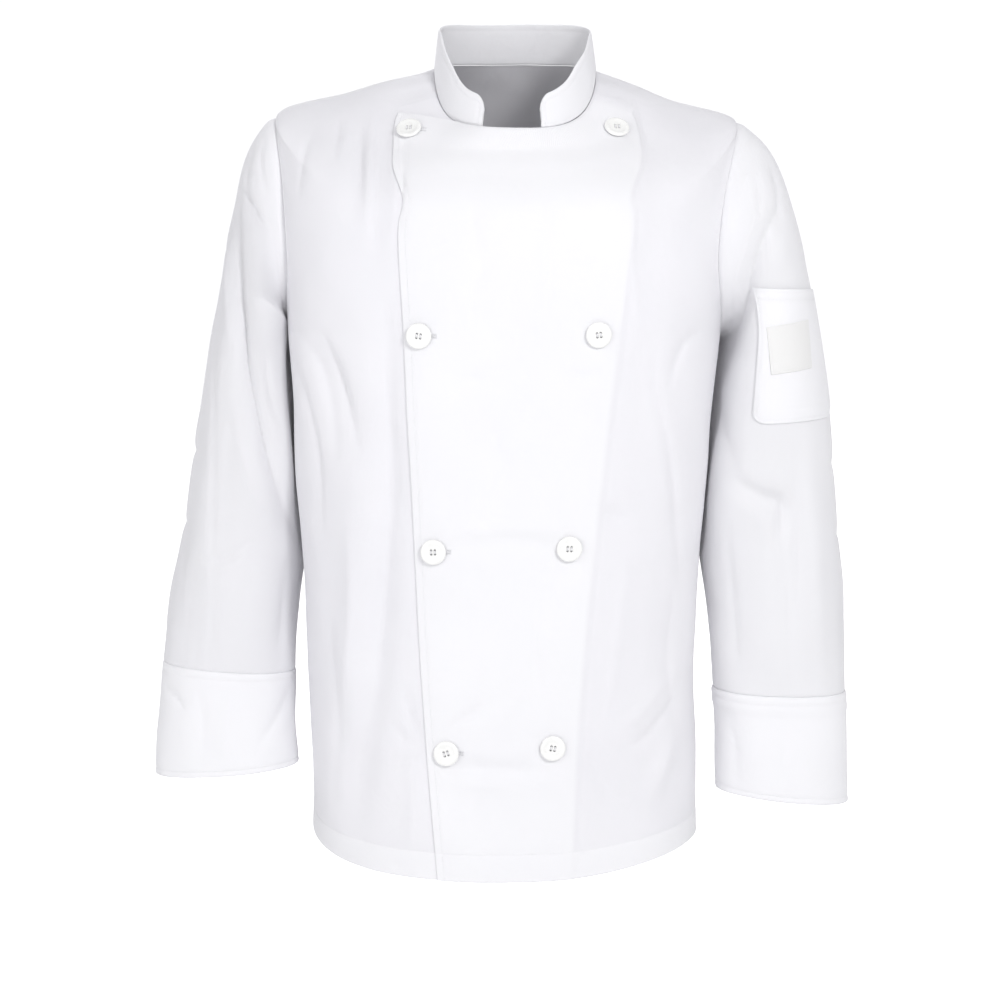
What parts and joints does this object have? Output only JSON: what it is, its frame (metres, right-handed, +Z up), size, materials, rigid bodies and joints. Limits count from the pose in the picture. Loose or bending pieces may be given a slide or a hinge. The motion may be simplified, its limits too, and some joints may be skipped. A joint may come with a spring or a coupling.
{
  "type": "chef jacket",
  "caption": "White double-breasted chef jacket in its worn, hollow form, with a stand collar, long cuffed sleeves and a pocket on one sleeve.",
  "frame": {"origin": "middle of the neck seam, where the wearer's shoulders carry the jacket", "axes": "+Z up towards the collar, -Y out of the front, +X towards the wearer's left sleeve"},
  "size_m": [0.649, 0.2583, 0.7745],
  "materials": {
    "jacket_cloth": "matte",
    "woven_label": "satin",
    "pearl_button": "gloss"
  },
  "bodies": {
    "root": {"front_left": "jacket_cloth", "front_right": "jacket_cloth", "back": "jacket_cloth", "collar": "jacket_cloth", "sleeve_left": "jacket_cloth", "cuff_left": "jacket_cloth", "sleeve_right": "jacket_cloth", "cuff_right": "jacket_cloth", "sleeve_pocket": "jacket_cloth", "label": "woven_label", "button_right_1": "pearl_button", "button_left_1": "pearl_button", "button_right_2": "pearl_button", "button_left_2": "pearl_button", "button_right_3": "pearl_button", "button_left_3": "pearl_button", "button_right_4": "pearl_button", "button_left_4": "pearl_button"}
  },
  "joints": []
}
